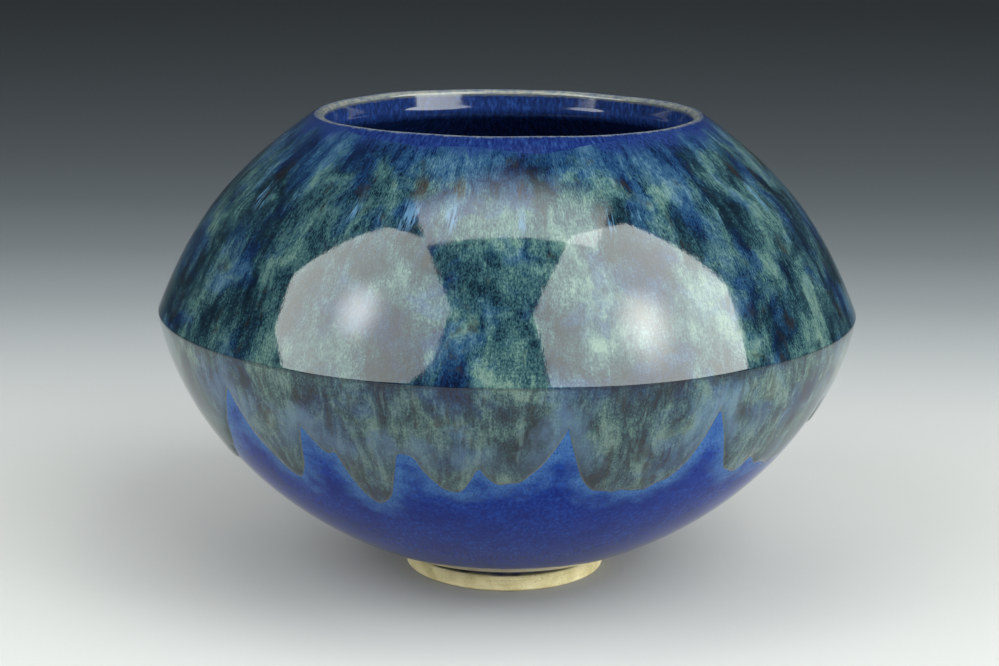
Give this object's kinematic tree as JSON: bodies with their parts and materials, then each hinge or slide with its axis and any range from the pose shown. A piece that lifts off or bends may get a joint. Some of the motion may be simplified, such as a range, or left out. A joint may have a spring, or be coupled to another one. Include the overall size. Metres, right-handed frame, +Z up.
{
  "type": "yarn bowl",
  "caption": "Closed-in ceramic yarn bowl with a sharp ridge round its middle, a wide open mouth, a small bare foot ring and a glaze that runs down over a blue coat.",
  "frame": {"origin": "centre of the foot ring's underside, on the surface that the pot stands on", "axes": "+Z up along the pot's axis of turning, -Y towards the front"},
  "size_m": [0.18, 0.18, 0.1203],
  "materials": {
    "bare_clay": "matt unglazed cream stoneware, trimmed and sponged",
    "body_clay": "fired cream stoneware under the glaze",
    "lip_break": "glossy glaze so thin that the cream clay shows through",
    "liner_glaze": "glossy deep blue liner",
    "blue_glaze": "glossy mottled cobalt blue",
    "running_glaze": "glossy variegated teal, sea green and brown with fine downward streaks"
  },
  "bodies": {
    "root": {"foot_ring": "bare_clay", "floor_disc": "bare_clay", "belly_wall": "body_clay", "shoulder_wall": "body_clay", "lip": "lip_break", "liner_glaze": "liner_glaze", "blue_glaze": "blue_glaze", "running_glaze": "running_glaze"}
  },
  "joints": []
}
